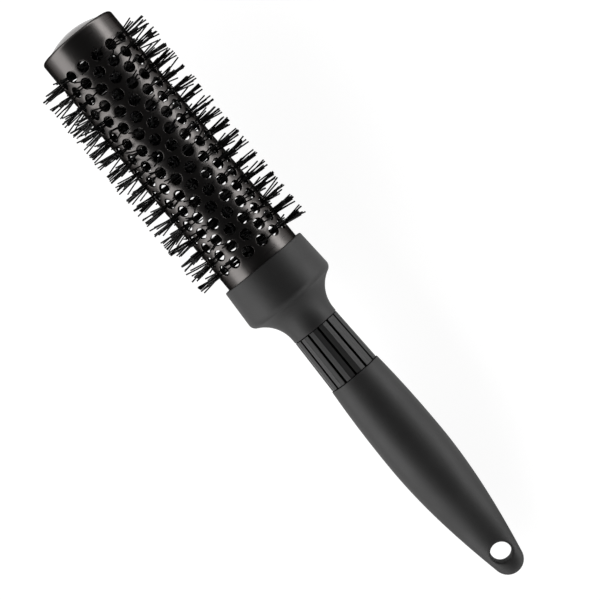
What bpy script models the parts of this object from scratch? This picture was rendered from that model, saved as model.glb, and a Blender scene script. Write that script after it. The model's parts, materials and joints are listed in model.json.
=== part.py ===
"""A vented round barrel brush, built as the assembly that it is: a perforated metal tube on a moulded
handle, with nylon bristles that a twisted wire core holds and that come out through the tube's holes.

The brush is modelled upright in its own frame, with +Z along its axis from the end cap (at zero) to the
tip of the handle, and with its upper side towards -X. It is then laid down on the ground plane, where it
rests on its lowest bristles and on its grip.
"""

import math

import bmesh
import bpy
from mathutils import Matrix, Vector

MM = 0.001

# Lengths along the axis, from the end cap to the tip of the handle
DOME_RISE = 3.1 * MM
BARREL_SHOWN = 107.6 * MM
COLLAR_LENGTH = 31.0 * MM
NECK_LENGTH = 22.4 * MM
GRIP_LENGTH = 95.9 * MM

# Clearance between pieces that are fitted together
FIT = 0.3 * MM

# Tube and its vent holes
BARREL_DIAMETER = 32.0 * MM
BARREL_WALL = 1.0 * MM
BARREL_IN_COLLAR = 9.0 * MM
LIP_ROUNDING = 1.4 * MM
LIP_WIDTH = 3.1 * MM
RING_COUNT = 18
HOLES_PER_RING = 15
HOLE_DIAMETER = 4.4 * MM
CAP_MARGIN = 11.2 * MM
COLLAR_MARGIN = 7.0 * MM
HOLE_TO_PLAIN_WALL = 1.8 * MM

# End cap
CAP_FLANGE = 2.5 * MM
CAP_BOSS_DIAMETER = 10.0 * MM
CAP_SOCKET_FLOOR = 5.0 * MM

# Twisted wire core
WIRE_DIAMETER = 1.8 * MM
TWIST_GAP = 0.7 * MM
TWIST_PITCH = 14.0 * MM
TWIST_POINTS = 6
WIRE_IN_HANDLE = 25.0 * MM

# Bristles: one strand for each hole, and a second one in some of them
BRISTLE_REACH = 8.8 * MM
STRAND_DIAMETER = 0.8 * MM
STRAND_ROOT = 1.5 * MM
STRAND_LEAN = 0.7 * MM
STRAND_LEAN_VARIES = 0.5 * MM
STRAND_SIDEWAYS = 0.7 * MM
DOUBLED_HOLES = (2, 9)
HUB_DIAMETER = 8.0 * MM
REST_FLAT = 0.5 * MM

# Collar
COLLAR_STEP = 1.85 * MM
COLLAR_SWELL = 0.8 * MM
COLLAR_EDGE = 0.5 * MM
COLLAR_SHOULDER_RADIUS = 3.0 * MM
COLLAR_SWEEP_RADIUS = 13.26 * MM
COLLAR_TAIL = 1.8 * MM
COLLAR_WALL = 1.7 * MM

# Ribbed neck
NECK_FRONT_DIAMETER = 19.5 * MM
NECK_BACK_DIAMETER = 20.96 * MM
GROOVE_COUNT = 13
GROOVE_WIDTH = 0.8 * MM
GROOVE_DEPTH = 0.9 * MM
GROOVE_PHASE = math.radians(7.5)
GROOVE_OVERRUN = 2.3 * MM

# Grip
GRIP_FRONT_DIAMETER = 21.5 * MM
GRIP_FRONT_SLOPE = 0.085
GRIP_BULGE_DIAMETER = 24.44 * MM
GRIP_BULGE_AT = 36.1 * MM
GRIP_TAIL_SLOPE = -0.2
GRIP_NOSE_RADIUS = 6.04 * MM
GRIP_WALL = 2.5 * MM
HANG_HOLE_DIAMETER = 8.1 * MM
HANG_HOLE_FROM_TIP = 10.2 * MM
TANG_TO_HANG_HOLE = 2.5 * MM
TIP_FLATNESS = 0.66
FLATTENING_LENGTH = 34.0 * MM

# Fineness of the turned shapes
TURN_STEPS = 24
TUBE_SIDES = 2 * HOLES_PER_RING
ARC_STEPS = 4
GRIP_STEPS = 12
TANG_STEPS = 9
SHARP_ANGLE = math.radians(35)
MERGE = 0.00001

# Places along the axis
Z_RIM = DOME_RISE
Z_COLLAR = Z_RIM + BARREL_SHOWN
Z_NECK = Z_COLLAR + COLLAR_LENGTH
Z_GRIP = Z_NECK + NECK_LENGTH
Z_TIP = Z_GRIP + GRIP_LENGTH
Z_BARREL_END = Z_COLLAR + BARREL_IN_COLLAR
Z_SWEEP_END = Z_NECK - COLLAR_TAIL
Z_HANG_HOLE = Z_TIP - HANG_HOLE_FROM_TIP
Z_TANG_END = Z_HANG_HOLE - HANG_HOLE_DIAMETER / 2 - TANG_TO_HANG_HOLE
Z_WIRE_END = Z_BARREL_END + WIRE_IN_HANDLE

# Pattern of the holes and the bristles
RING_PITCH = (BARREL_SHOWN - CAP_MARGIN - COLLAR_MARGIN) / (RING_COUNT - 1)
HOLE_ANGLE = 2 * math.pi / HOLES_PER_RING
HUB_WIDTH = RING_PITCH - FIT
Z_FIRST_RING = Z_RIM + CAP_MARGIN
Z_LAST_RING = Z_FIRST_RING + (RING_COUNT - 1) * RING_PITCH
Z_CAP_BOSS = Z_FIRST_RING - HUB_WIDTH / 2 - FIT
Z_SPIGOT = Z_LAST_RING + HUB_WIDTH / 2 + FIT

# Radii that fit one piece to another
BARREL_RADIUS = BARREL_DIAMETER / 2
BARREL_BORE = BARREL_RADIUS - BARREL_WALL
LIP_RADIUS = BARREL_RADIUS - LIP_WIDTH
WIRE_RADIUS = WIRE_DIAMETER / 2
TWIST_RADIUS = WIRE_RADIUS + TWIST_GAP / 2
WIRE_BORE = TWIST_RADIUS + WIRE_RADIUS + FIT
BRISTLE_RADIUS = BARREL_RADIUS + BRISTLE_REACH
HUB_RADIUS = HUB_DIAMETER / 2
NECK_FRONT = NECK_FRONT_DIAMETER / 2
NECK_BACK = NECK_BACK_DIAMETER / 2
SWEEP_CENTRE = NECK_FRONT + COLLAR_SWEEP_RADIUS
CORE_SWEEP = COLLAR_SWEEP_RADIUS + COLLAR_WALL


def direction(angle):
    """Unit vector across the axis, at an angle from the brush's upper side."""
    return Vector((-math.cos(angle), math.sin(angle), 0))


def ring_height(ring):
    return Z_FIRST_RING + ring * RING_PITCH


def ring_phase(ring):
    """Rings of holes are staggered by half a hole, and the last ring has a hole on the upper side."""
    return (RING_COUNT - 1 - ring) * HOLE_ANGLE / 2


def hermite(share, start, end, start_rise, end_rise):
    """Smooth curve from start to end, with the rises that its end slopes would give over its length."""
    square = share * share
    cube = square * share
    return (
        (2 * cube - 3 * square + 1) * start
        + (cube - 2 * square + share) * start_rise
        + (3 * square - 2 * cube) * end
        + (cube - square) * end_rise
    )


def grip_nose():
    """Centre of the round nose, and the place along the axis where it takes over from the tail."""
    centre = Z_TIP - GRIP_NOSE_RADIUS
    return centre, centre - GRIP_NOSE_RADIUS * math.sin(math.atan(GRIP_TAIL_SLOPE))


def grip_radius(z):
    """Half the width of the grip at a place along the axis."""
    nose_centre, nose_start = grip_nose()
    bulge_z = Z_GRIP + GRIP_BULGE_AT
    bulge = GRIP_BULGE_DIAMETER / 2
    if z >= nose_start:
        return math.sqrt(max(GRIP_NOSE_RADIUS**2 - (z - nose_centre) ** 2, 0))
    if z < bulge_z:
        share = (z - Z_GRIP) / GRIP_BULGE_AT
        return hermite(share, GRIP_FRONT_DIAMETER / 2, bulge, GRIP_FRONT_SLOPE * GRIP_BULGE_AT, 0)
    tail = nose_start - bulge_z
    nose = GRIP_NOSE_RADIUS * math.cos(math.atan(GRIP_TAIL_SLOPE))
    return hermite((z - bulge_z) / tail, bulge, nose, 0, GRIP_TAIL_SLOPE * tail)


def tip_flattening(z):
    """Share of its width that the handle keeps as its thickness: the tip is flattened towards the hole."""
    share = min(max(1 - (Z_HANG_HOLE - z) / FLATTENING_LENGTH, 0), 1)
    return 1 - (1 - TIP_FLATNESS) * share * share * (3 - 2 * share)


def spaced(start, end, count):
    """Evenly spaced numbers, with both ends."""
    return [start + (end - start) * i / (count - 1) for i in range(count)]


def lying_tilt():
    """How far the handle dips when the brush rests on its last bristles and on its grip."""
    depth = BRISTLE_RADIUS * math.cos(HOLE_ANGLE / 2) - REST_FLAT
    places = spaced(Z_GRIP, grip_nose()[1], 100)
    dips = [(depth - grip_radius(z) * tip_flattening(z)) / (z - Z_LAST_RING) for z in places]
    return math.atan(min(dips)), depth


TILT, REST_DEPTH = lying_tilt()


def above_ground(point):
    """Height of a point of the upright brush over the plane that the brush rests on once it is laid down."""
    return (REST_DEPTH - point.x) * math.cos(TILT) + (Z_LAST_RING - point.z) * math.sin(TILT)


def clear_scene():
    for old in list(bpy.data.objects):
        bpy.data.objects.remove(old, do_unlink=True)


def new_collection(name):
    collection = bpy.data.collections.new(name)
    bpy.context.scene.collection.children.link(collection)
    return collection


def finish_material(name, colour, roughness, metallic=0.0):
    material = bpy.data.materials.new(name)
    material.use_nodes = True
    shader = material.node_tree.nodes["Principled BSDF"]
    shader.inputs["Base Color"].default_value = (*colour, 1)
    shader.inputs["Roughness"].default_value = roughness
    shader.inputs["Metallic"].default_value = metallic
    return material


def add_object(name, data, collection, root, material=None):
    made = bpy.data.objects.new(name, data)
    collection.objects.link(made)
    made.parent = root
    if material:
        data.materials.append(material)
    return made


def mesh_from(bm, name):
    mesh = bpy.data.meshes.new(name)
    bm.to_mesh(mesh)
    bm.free()
    return mesh


def shade_round(mesh):
    mesh.shade_smooth()
    mesh.set_sharp_from_angle(angle=SHARP_ANGLE)


def turned_mesh(name, profile, closed=False):
    """Solid of a profile of (radius, height) points turned about the axis, as a plain mesh."""
    bm = bmesh.new()
    corners = [bm.verts.new((radius, 0, height)) for radius, height in profile]
    ends = corners[1:] + corners[:1] if closed else corners[1:]
    for corner, following in zip(corners, ends):
        bm.edges.new((corner, following))
    outline = bpy.data.objects.new(name, mesh_from(bm, name))
    bpy.context.scene.collection.objects.link(outline)
    screw = outline.modifiers.new("Turn", "SCREW")
    screw.axis = "Z"
    screw.angle = 2 * math.pi
    screw.steps = TURN_STEPS
    screw.render_steps = TURN_STEPS
    screw.use_merge_vertices = True
    screw.merge_threshold = MERGE
    graph = bpy.context.evaluated_depsgraph_get()
    mesh = bpy.data.meshes.new_from_object(outline.evaluated_get(graph))
    bpy.data.objects.remove(outline, do_unlink=True)
    shade_round(mesh)
    return mesh


def flatten_tip(mesh):
    for vertex in mesh.vertices:
        vertex.co.x *= tip_flattening(vertex.co.z)


def cut(piece, cutter):
    cutter.hide_render = True
    cutter.display_type = "WIRE"
    boolean = piece.modifiers.new("Cut " + cutter.name, "BOOLEAN")
    boolean.operation = "DIFFERENCE"
    boolean.object = cutter


def circle(bm, sides, radius, height, phase):
    """Loop of edges round the axis, with one corner at the phase angle."""
    place = Matrix.Translation((0, 0, height)) @ Matrix.Rotation(math.pi / 2 - phase, 4, "Z")
    made = bmesh.ops.create_circle(bm, segments=sides, radius=radius, matrix=place)
    corners = set(made["verts"])
    return [edge for edge in bm.edges if set(edge.verts) <= corners]


def extruded_loop(bm, loop):
    """A copy of a loop of edges, joined to it by faces: its edges and its corners."""
    made = bmesh.ops.extrude_edge_only(bm, edges=loop)["geom"]
    edges = [part for part in made if isinstance(part, bmesh.types.BMEdge)]
    corners = [part for part in made if isinstance(part, bmesh.types.BMVert)]
    return [edge for edge in edges if set(edge.verts) <= set(corners)], corners


def perforated_wall(bm):
    """Stretch of tube with the holes, as a net of triangles with a knot at each hole, and its end loops."""
    turn = Matrix.Rotation(HOLE_ANGLE / 2, 4, "Z")
    step = Matrix.Translation((0, 0, RING_PITCH))
    first = circle(bm, HOLES_PER_RING, BARREL_RADIUS, ring_height(0), ring_phase(0))
    last = first
    for _ in range(RING_COUNT - 1):
        last, corners = extruded_loop(bm, last)
        bmesh.ops.transform(bm, matrix=step @ turn, verts=corners)
    bmesh.ops.triangulate(bm, faces=bm.faces[:], quad_method="SHORT_EDGE")
    return first, last


def pierce(bm, knots):
    """Cuts a hole at each knot of the net and brings every corner back to the tube's surface."""
    centres = [knot.co.copy() for knot in knots]
    radius = HOLE_DIAMETER / 2
    bmesh.ops.bevel(bm, geom=knots, offset=radius, segments=1, affect="VERTICES")
    holes = []
    for face in bm.faces:
        middle = face.calc_center_median()
        if min((middle - centre).length for centre in centres) < radius / 4:
            holes.append(face)
    bmesh.ops.delete(bm, geom=holes, context="FACES_ONLY")
    for corner in bm.verts:
        across = Vector((corner.co.x, corner.co.y, 0))
        corner.co += across.normalized() * (BARREL_RADIUS - across.length)


def barrel_tube():
    """Perforated tube with a lip rolled in at the cap end."""
    bm = bmesh.new()
    first, last = perforated_wall(bm)
    knots = bm.verts[:]
    plain_step = HOLE_DIAMETER / 2 + HOLE_TO_PLAIN_WALL
    cap_loop = circle(bm, TUBE_SIDES, BARREL_RADIUS, ring_height(0) - plain_step, ring_phase(0))
    end_loop = circle(bm, TUBE_SIDES, BARREL_RADIUS, Z_LAST_RING + plain_step, 0)
    bmesh.ops.bridge_loops(bm, edges=first + cap_loop)
    bmesh.ops.bridge_loops(bm, edges=last + end_loop)
    bmesh.ops.triangulate(bm, faces=bm.faces[:], quad_method="SHORT_EDGE")
    pierce(bm, knots)

    def open_end(height):
        return [
            edge
            for edge in bm.edges
            if edge.is_boundary and all(abs(corner.co.z - height) < MERGE for corner in edge.verts)
        ]

    _, corners = extruded_loop(bm, open_end(Z_LAST_RING + plain_step))
    for corner in corners:
        corner.co.z = Z_BARREL_END
    rounding = [
        (
            BARREL_RADIUS - LIP_ROUNDING * (1 - math.cos(angle)),
            Z_RIM + LIP_ROUNDING * (1 - math.sin(angle)),
        )
        for angle in spaced(0, math.pi / 2, ARC_STEPS)
    ]
    loop = open_end(ring_height(0) - plain_step)
    for radius, height in rounding + [(LIP_RADIUS, Z_RIM)]:
        loop, corners = extruded_loop(bm, loop)
        for corner in corners:
            across = Vector((corner.co.x, corner.co.y, 0)).normalized() * radius
            corner.co = (across.x, across.y, height)
    bmesh.ops.recalc_face_normals(bm, faces=bm.faces[:])
    probe = bm.faces[:][0]
    if probe.normal.dot(probe.calc_center_median() * Vector((1, 1, 0))) < 0:
        bmesh.ops.reverse_faces(bm, faces=bm.faces[:])
    mesh = mesh_from(bm, "barrel_tube")
    shade_round(mesh)
    return mesh


def end_cap_mesh():
    """Domed plug: the dome looks out through the lip, a flange sits behind it, a boss holds the wires."""
    dome_base = LIP_RADIUS - FIT
    sphere = (dome_base**2 + DOME_RISE**2) / (2 * DOME_RISE)
    half_angle = math.asin(dome_base / sphere)
    dome = [
        (sphere * math.sin(angle), sphere * (1 - math.cos(angle)))
        for angle in spaced(half_angle, 0, ARC_STEPS)
    ]
    flange_front = Z_RIM + BARREL_WALL + FIT
    flange_back = flange_front + CAP_FLANGE
    flange = BARREL_BORE - FIT
    boss = CAP_BOSS_DIAMETER / 2
    profile = [
        (0, CAP_SOCKET_FLOOR),
        (WIRE_BORE, CAP_SOCKET_FLOOR),
        (WIRE_BORE, Z_CAP_BOSS),
        (boss, Z_CAP_BOSS),
        (boss, flange_back),
        (flange, flange_back),
        (flange, flange_front),
        (dome_base, flange_front),
    ]
    return turned_mesh("end_cap", profile + dome)


def wire_points(start_angle):
    """Points along one wire of the twisted pair."""
    end_room = FIT + WIRE_RADIUS / 2
    start = CAP_SOCKET_FLOOR + end_room
    end = Z_WIRE_END - end_room
    count = round(TWIST_POINTS * (end - start) / TWIST_PITCH)
    points = []
    for z in spaced(start, end, count):
        angle = start_angle + 2 * math.pi * (z - start) / TWIST_PITCH
        points.append(direction(angle) * TWIST_RADIUS + Vector((0, 0, z)))
    return points


def wire_curve(name, points):
    curve = bpy.data.curves.new(name, "CURVE")
    curve.dimensions = "3D"
    curve.bevel_depth = WIRE_RADIUS
    curve.bevel_resolution = 1
    curve.use_fill_caps = True
    spline = curve.splines.new("POLY")
    spline.points.add(len(points) - 1)
    for spot, point in zip(spline.points, points):
        spot.co = (*point, 1)
    return curve


def hub(bm, ring):
    """Slice of packed bristle roots round the wires. Returns its outer faces, two triangles for each hole."""
    across = direction(ring_phase(ring) + HOLE_ANGLE / 2)
    low = Vector((0, 0, ring_height(ring) - HUB_WIDTH / 2))
    high = low + Vector((0, 0, HUB_WIDTH))
    bore = across * (WIRE_BORE / math.cos(HOLE_ANGLE / 2))
    outside = across * HUB_RADIUS
    corners = [bm.verts.new(spot) for spot in (outside + high, outside + low, bore + low, bore + high)]
    outline = [bm.edges.new((corners[i - 1], corners[i])) for i in range(4)]
    bmesh.ops.spin(
        bm,
        geom=corners + outline,
        axis=(0, 0, 1),
        angle=2 * math.pi,
        steps=HOLES_PER_RING,
        use_merge=True,
    )
    bmesh.ops.remove_doubles(bm, verts=bm.verts[:], dist=MERGE)
    bmesh.ops.recalc_face_normals(bm, faces=bm.faces[:])
    sides = [
        face
        for face in bm.faces
        if all(math.hypot(corner.co.x, corner.co.y) > HUB_RADIUS - MERGE for corner in face.verts)
    ]
    return bmesh.ops.triangulate(bm, faces=sides)["faces"]


def shape_strand(face, centre, along):
    """Makes a triangular face the end of a strand: centred, square to it and of its diameter."""
    first = face.verts[0].co - face.calc_center_median()
    first = (first - first.dot(along) * along).normalized()
    for i, corner in enumerate(face.verts[:]):
        turn = Matrix.Rotation(i * 2 * math.pi / 3, 3, along)
        corner.co = centre + turn @ first * STRAND_DIAMETER / 2


def grow_strand(bm, face, aim):
    """Draws one face of the hub out into a strand that passes through a point in its hole."""
    root = face.calc_center_median()
    along = (aim - root).normalized()
    reach = (BRISTLE_RADIUS - HUB_RADIUS) / (BARREL_RADIUS - HUB_RADIUS)
    tip = root + (aim - root) * reach
    for centre in (root + along * STRAND_ROOT, tip):
        face = bmesh.ops.extrude_discrete_faces(bm, faces=[face])["faces"][0]
        shape_strand(face, centre, along)
    for corner in face.verts:
        below = -above_ground(corner.co)
        if below > 0:
            rise = above_ground(corner.co - along) - above_ground(corner.co)
            corner.co -= along * (below / rise)


def bristle_ring_mesh(ring, name):
    """One ring of bristles: strands on their slice of packed roots, each aimed into its hole."""
    bm = bmesh.new()
    middle = ring_height(ring)
    golden = math.pi * (3 - math.sqrt(5))
    for number, face in enumerate(hub(bm, ring)):
        centre = face.calc_center_median()
        angle = math.atan2(centre.y, -centre.x)
        hole = round((angle - ring_phase(ring)) / HOLE_ANGLE) % HOLES_PER_RING
        upper = centre.z > middle
        doubled = (hole + ring) % HOLES_PER_RING in DOUBLED_HOLES
        if not doubled and upper != bool((hole + ring) % 2):
            continue
        turn = golden * (number + ring * 2 * HOLES_PER_RING)
        lean = (STRAND_LEAN + STRAND_LEAN_VARIES * math.sin(turn)) * (1 if upper else -1)
        sideways = STRAND_SIDEWAYS * math.cos(turn) / BARREL_RADIUS
        aim = direction(ring_phase(ring) + hole * HOLE_ANGLE + sideways) * BARREL_RADIUS
        grow_strand(bm, face, aim + Vector((0, 0, middle + lean)))
    return mesh_from(bm, name)


def collar_mesh():
    """Soft bell over the flange: a swelling side, a round shoulder and a hollow sweep down to the neck."""
    front = BARREL_RADIUS + COLLAR_STEP
    back = front + COLLAR_SWELL
    socket = BARREL_RADIUS + FIT
    reach = COLLAR_SWEEP_RADIUS + COLLAR_SHOULDER_RADIUS
    shoulder = back - COLLAR_SHOULDER_RADIUS
    meeting = math.acos((SWEEP_CENTRE - shoulder) / reach)
    shoulder_z = Z_SWEEP_END - reach * math.sin(meeting)
    inner_sweep = CORE_SWEEP - FIT
    inner_meeting = math.acos((SWEEP_CENTRE - socket) / inner_sweep)
    tail_end = Z_NECK - FIT

    def sweep(radius, angle):
        return SWEEP_CENTRE - radius * math.cos(angle), Z_SWEEP_END - radius * math.sin(angle)

    profile = [(NECK_FRONT, tail_end)]
    profile += [sweep(COLLAR_SWEEP_RADIUS, angle) for angle in spaced(0, meeting, ARC_STEPS)]
    profile += [
        (
            shoulder + COLLAR_SHOULDER_RADIUS * math.cos(angle),
            shoulder_z + COLLAR_SHOULDER_RADIUS * math.sin(angle),
        )
        for angle in spaced(meeting, 0, ARC_STEPS)[1:]
    ]
    profile += [(front, Z_COLLAR + COLLAR_EDGE), (front - COLLAR_EDGE, Z_COLLAR), (socket, Z_COLLAR)]
    profile += [sweep(inner_sweep, angle) for angle in spaced(inner_meeting, 0, ARC_STEPS)]
    profile.append((SWEEP_CENTRE - inner_sweep, tail_end))
    return turned_mesh("collar_cover", profile, closed=True)


def tang_radius(z):
    return grip_radius(z) - GRIP_WALL - FIT


def handle_core_mesh():
    """Hard core of the handle: tang, ribbed neck, swept body, flange and spigot, bored for the wires."""
    flange_meeting = math.acos((SWEEP_CENTRE - BARREL_RADIUS) / CORE_SWEEP)
    flange_z = Z_BARREL_END + FIT
    spigot = BARREL_BORE - FIT
    neck_end = Z_GRIP - FIT
    profile = [(0, Z_TANG_END)]
    profile += [(tang_radius(z), z) for z in spaced(Z_TANG_END, Z_GRIP, TANG_STEPS)]
    profile += [(tang_radius(Z_GRIP), neck_end), (NECK_BACK, neck_end), (NECK_FRONT, Z_NECK)]
    profile.append((NECK_FRONT - COLLAR_WALL, Z_NECK))
    profile += [
        (SWEEP_CENTRE - CORE_SWEEP * math.cos(angle), Z_SWEEP_END - CORE_SWEEP * math.sin(angle))
        for angle in spaced(0, flange_meeting, ARC_STEPS)
    ]
    profile += [(BARREL_RADIUS, flange_z), (spigot, flange_z), (spigot, Z_SPIGOT)]
    profile += [(WIRE_BORE, Z_SPIGOT), (WIRE_BORE, Z_WIRE_END), (0, Z_WIRE_END)]
    mesh = turned_mesh("handle_core", profile)
    flatten_tip(mesh)
    return mesh


def groove_cutter_mesh():
    """Bars that cut the grooves between the ribs, sloped to follow the neck."""
    bm = bmesh.new()
    slope = math.atan2(NECK_BACK - NECK_FRONT, NECK_LENGTH)
    height = GROOVE_DEPTH + GROOVE_OVERRUN
    length = NECK_LENGTH + 2 * GROOVE_OVERRUN
    middle = (NECK_FRONT + NECK_BACK) / 2 - GROOVE_DEPTH + height / 2
    for i in range(GROOVE_COUNT):
        angle = math.pi - GROOVE_PHASE - i * 2 * math.pi / GROOVE_COUNT
        place = (
            Matrix.Rotation(angle, 4, "Z")
            @ Matrix.Translation((middle, 0, (Z_NECK + Z_GRIP) / 2))
            @ Matrix.Rotation(slope, 4, "Y")
            @ Matrix.Diagonal((height, GROOVE_WIDTH, length, 1))
        )
        bmesh.ops.create_cube(bm, size=1, matrix=place)
    return mesh_from(bm, "groove_cutter")


def grip_mesh():
    """Soft sleeve of the grip, with a blind bore for the tang and a flattened tip."""
    nose_centre, nose_start = grip_nose()
    nose_angle = math.acos((nose_start - nose_centre) / GRIP_NOSE_RADIUS)
    profile = [
        (GRIP_NOSE_RADIUS * math.sin(angle), nose_centre + GRIP_NOSE_RADIUS * math.cos(angle))
        for angle in spaced(0, nose_angle, ARC_STEPS)
    ]
    profile += [(grip_radius(z), z) for z in spaced(nose_start, Z_GRIP, GRIP_STEPS)[1:]]
    bore_end = Z_TANG_END + FIT
    profile += [(tang_radius(z) + FIT, z) for z in spaced(Z_GRIP, Z_TANG_END, TANG_STEPS)]
    profile += [(tang_radius(Z_TANG_END) + FIT, bore_end), (0, bore_end)]
    mesh = turned_mesh("grip_sleeve", profile)
    flatten_tip(mesh)
    return mesh


def hang_hole_cutter_mesh():
    bm = bmesh.new()
    place = Matrix.Translation((0, 0, Z_HANG_HOLE)) @ Matrix.Rotation(math.pi / 2, 4, "Y")
    radius = HANG_HOLE_DIAMETER / 2
    bmesh.ops.create_cone(
        bm,
        cap_ends=True,
        segments=TURN_STEPS,
        radius1=radius,
        radius2=radius,
        depth=GRIP_BULGE_DIAMETER,
        matrix=place,
    )
    return mesh_from(bm, "hang_hole_cutter")


def report_wire_gap(first, second):
    gap = min((a - b).length for a in first for b in second) - WIRE_DIAMETER
    print(f"least gap between the wires {gap / MM:.2f} mm")


def lay_down(root, pieces):
    """Lays the brush on the ground plane, with the middle of its outline over the origin."""
    root.rotation_euler = (0, math.pi / 2 + TILT, 0)
    bpy.context.view_layer.update()
    graph = bpy.context.evaluated_depsgraph_get()
    points = []
    for piece in pieces:
        shown = piece.evaluated_get(graph)
        points += [shown.matrix_world @ vertex.co for vertex in shown.to_mesh().vertices]
        shown.to_mesh_clear()
    low = Vector(min(point[i] for point in points) for i in range(3))
    high = Vector(max(point[i] for point in points) for i in range(3))
    root.location = (-(low.x + high.x) / 2, -(low.y + high.y) / 2, -low.z)


def main():
    clear_scene()
    parts = new_collection("round_barrel_brush")
    cutters = new_collection("cutters")
    root = bpy.data.objects.new("brush_axis", None)
    parts.objects.link(root)

    tube_finish = finish_material("coated_tube", (0.16, 0.15, 0.145), 0.28, 1.0)
    cap_finish = finish_material("gloss_cap", (0.04, 0.038, 0.038), 0.2)
    wire_finish = finish_material("steel_wire", (0.5, 0.5, 0.5), 0.35, 1.0)
    nylon_finish = finish_material("black_nylon", (0.012, 0.012, 0.012), 0.35)
    core_finish = finish_material("hard_black_plastic", (0.02, 0.02, 0.02), 0.35)
    collar_finish = finish_material("soft_touch_collar", (0.03, 0.03, 0.03), 0.6)
    grip_finish = finish_material("soft_touch_grip", (0.03, 0.03, 0.03), 0.6)

    tube = add_object("barrel_tube", barrel_tube(), parts, root, tube_finish)
    wall = tube.modifiers.new("Wall", "SOLIDIFY")
    wall.thickness = BARREL_WALL
    wall.offset = -1
    wall.use_even_offset = True
    pieces = [tube, add_object("end_cap", end_cap_mesh(), parts, root, cap_finish)]

    routes = [wire_points(0), wire_points(math.pi)]
    report_wire_gap(*routes)
    for letter, route in zip("ab", routes):
        name = "core_wire_" + letter
        pieces.append(add_object(name, wire_curve(name, route), parts, root, wire_finish))

    for ring in range(RING_COUNT):
        name = f"bristle_ring_{ring + 1:02d}"
        pieces.append(add_object(name, bristle_ring_mesh(ring, name), parts, root, nylon_finish))

    core = add_object("handle_core", handle_core_mesh(), parts, root, core_finish)
    cut(core, add_object("groove_cutter", groove_cutter_mesh(), cutters, root))
    grip = add_object("grip_sleeve", grip_mesh(), parts, root, grip_finish)
    cut(grip, add_object("hang_hole_cutter", hang_hole_cutter_mesh(), cutters, root))
    collar = add_object("collar_cover", collar_mesh(), parts, root, collar_finish)
    lay_down(root, pieces + [core, grip, collar])


main()
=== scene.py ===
"""Looks of the vented round barrel brush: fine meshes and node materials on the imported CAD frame.

Every piece is modelled upright in the brush's own frame, with +Z along its axis from the end cap (at zero)
to the tip of the handle and its upper side towards -X, and is then laid where the CAD brush lies.
"""

import json
import math
import random

import bmesh
import bpy
from mathutils import Matrix, Vector


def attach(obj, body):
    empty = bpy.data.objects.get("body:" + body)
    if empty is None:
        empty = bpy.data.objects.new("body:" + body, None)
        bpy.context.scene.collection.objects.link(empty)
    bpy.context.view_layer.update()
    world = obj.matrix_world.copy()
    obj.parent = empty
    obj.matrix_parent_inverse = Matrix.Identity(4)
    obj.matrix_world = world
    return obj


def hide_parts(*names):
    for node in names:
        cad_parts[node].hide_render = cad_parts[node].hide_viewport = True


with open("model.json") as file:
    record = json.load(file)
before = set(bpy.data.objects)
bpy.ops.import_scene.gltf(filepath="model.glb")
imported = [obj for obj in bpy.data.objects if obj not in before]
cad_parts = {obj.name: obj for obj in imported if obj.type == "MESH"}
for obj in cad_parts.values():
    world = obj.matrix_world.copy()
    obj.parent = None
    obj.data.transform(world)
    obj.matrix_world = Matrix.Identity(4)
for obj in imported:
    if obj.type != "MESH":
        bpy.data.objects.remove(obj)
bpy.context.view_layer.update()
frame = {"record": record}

MM = 0.001

# Places along the axis, from the end cap to the tip of the handle
Z_RIM = 3.1 * MM
Z_COLLAR = 110.7 * MM
Z_BARREL_END = 119.7 * MM
Z_SWEEP_END = 139.9 * MM
Z_NECK = 141.7 * MM
Z_GRIP = 164.1 * MM
Z_TANG_END = 243.25 * MM
Z_HANG_HOLE = 249.8 * MM
Z_TIP = 260.0 * MM
FIT = 0.3 * MM

# Tube and its vent holes
BARREL_RADIUS = 16.0 * MM
BARREL_WALL = 1.0 * MM
BARREL_BORE = BARREL_RADIUS - BARREL_WALL
LIP_RADIUS = 12.9 * MM
LIP_ROUNDING = 1.4 * MM
RING_COUNT = 18
HOLES_PER_RING = 15
HOLE_RADIUS = 2.2 * MM
HOLE_ROUNDING = 0.25 * MM
Z_FIRST_RING = 14.3 * MM
Z_LAST_RING = 103.7 * MM
RING_PITCH = (Z_LAST_RING - Z_FIRST_RING) / (RING_COUNT - 1)
HOLE_ANGLE = 2 * math.pi / HOLES_PER_RING
CELL_STEPS = 4
PLAIN_WALL_STEP = 0.4 * MM

# End cap
DOME_TOP = 0.06 * MM
CAP_FLANGE = 2.5 * MM
CAP_BOSS_RADIUS = 5.0 * MM
CAP_SOCKET_FLOOR = 5.0 * MM
CAP_BOSS_END = 11.5 * MM

# Twisted wires and the bristles that they hold
WIRE_RADIUS = 0.9 * MM
WIRE_BORE = 2.45 * MM
TWIST_RADIUS = 1.25 * MM
TWIST_PITCH = 14.0 * MM
TWIST_STEP = 1.0 * MM
WIRE_ENDS = (5.75 * MM, 143.95 * MM)
WIRE_SIDES = 12
HUB_RADIUS = 4.0 * MM
HUB_WIDTH = RING_PITCH - FIT
HUB_SIDES = 60
HUB_RIDGES = 20
HUB_RIDGE = 0.25 * MM
BRISTLE_RADIUS = 24.65 * MM
BRISTLE_UNEVEN = 0.5 * MM
FILAMENT_RADIUS = 0.3 * MM
FILAMENT_SIDES = 5
FILAMENTS_PER_HOLE = (3, 4, 4, 4)
OPENING_SPREAD = 0.35 * MM
ROOT_SPREAD = 1.7 * MM
ROOT_TURN = math.radians(10)
BRISTLE_BEND = 0.28 * MM
FLOOR_CLEARANCE = 0.2 * MM

# Collar
COLLAR_FRONT = 17.85 * MM
COLLAR_BACK = 18.65 * MM
COLLAR_EDGE = 0.6 * MM
COLLAR_SHOULDER_RADIUS = 3.0 * MM
COLLAR_SWEEP_RADIUS = 13.26 * MM
COLLAR_WALL = 1.7 * MM
COLLAR_TAIL_EDGE = 0.25 * MM

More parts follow.
